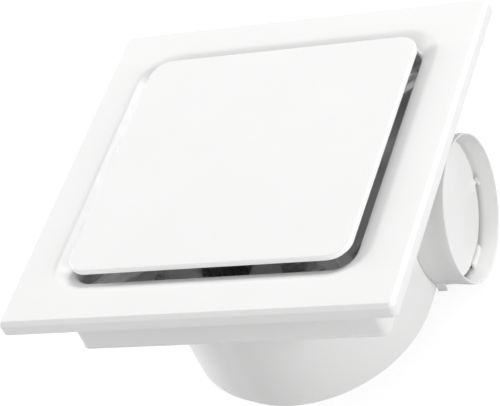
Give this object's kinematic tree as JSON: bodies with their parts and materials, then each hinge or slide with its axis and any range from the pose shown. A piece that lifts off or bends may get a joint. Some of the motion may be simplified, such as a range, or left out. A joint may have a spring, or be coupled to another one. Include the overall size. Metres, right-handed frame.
{
  "type": "ceiling exhaust fan",
  "caption": "Square flush-mounted exhaust fan: bevelled fascia, floating front panel, square housing, scroll casing with a squirrel-cage wheel, and a round side spigot with a back-draft flap.",
  "frame": {"origin": "centre of the square outline, at the height of the lowest point of the spigot, with the fan lying on its back", "axes": "+Z out of the fascia towards the room, +X out of the spigot along the duct, +Y towards the side that the spigot is nearer to"},
  "size_m": [0.335, 0.335, 0.2095],
  "materials": {
    "fascia_white": "satin injection-moulded white plastic",
    "casing_white": "semi-matt injection-moulded white plastic",
    "wheel_grey": "matt moulded light grey plastic",
    "grey_plastic": "matt moulded grey plastic",
    "rubber": "matt black rubber",
    "steel": "pressed galvanised steel",
    "zinc": "bright zinc-plated steel",
    "lamination": "stacked dark steel laminations",
    "winding": "varnished copper wire"
  },
  "bodies": {
    "root": {"fascia_frame": "fascia_white", "panel_bracket_1": "casing_white", "panel_bracket_2": "casing_white", "panel_bracket_3": "casing_white", "panel_bracket_4": "casing_white", "panel_socket_1": "grey_plastic", "panel_socket_2": "grey_plastic", "panel_socket_3": "grey_plastic", "panel_socket_4": "grey_plastic", "fascia_screw_1": "zinc", "fascia_screw_2": "zinc", "fascia_screw_3": "zinc", "fascia_screw_4": "zinc", "body_housing": "casing_white", "inlet_bell": "casing_white", "inlet_screw_1": "zinc", "inlet_screw_2": "zinc", "inlet_screw_3": "zinc", "inlet_screw_4": "zinc", "casing_screw_1": "zinc", "casing_screw_2": "zinc", "casing_screw_3": "zinc", "casing_screw_4": "zinc", "casing_screw_5": "zinc", "volute_casing": "casing_white", "spigot_adaptor": "casing_white", "motor_plate": "steel", "plate_screw_1": "zinc", "plate_screw_2": "zinc", "plate_screw_3": "zinc", "plate_screw_4": "zinc", "motor_grommet_1": "rubber", "motor_grommet_2": "rubber", "motor_grommet_3": "rubber", "motor_screw_1": "zinc", "motor_screw_2": "zinc", "motor_screw_3": "zinc", "motor_can_rear": "steel", "motor_can_front": "steel", "stator_core": "lamination", "stator_winding_rear": "winding", "stator_winding_front": "winding", "bearing_rear": "steel", "bearing_front": "steel", "terminal_box": "grey_plastic", "terminal_cover": "grey_plastic", "terminal_cover_screw": "zinc", "cable_gland": "rubber", "terminal_block": "grey_plastic", "capacitor": "rubber"},
    "panel": {"front_panel": "fascia_white"},
    "rotor": {"impeller": "wheel_grey", "impeller_nut": "zinc", "motor_shaft": "steel", "rotor_core": "lamination"},
    "flap": {"backdraft_flap": "casing_white"}
  },
  "joints": [
    {"name": "panel_pull", "type": "slide", "parent": "root", "child": "panel", "axis": [0, 0, 1], "range_m": [0, 0.036]},
    {"name": "impeller_spin", "type": "hinge", "parent": "root", "child": "rotor", "pos_m": [-0.0022, -0.0069, 0.08], "axis": [0, 0, 1], "continuous": true},
    {"name": "flap_swing", "type": "hinge", "parent": "root", "child": "flap", "pos_m": [0.1131, 0.068, 0.0407], "axis": [0, 1, 0], "range_deg": [0, 68]}
  ]
}
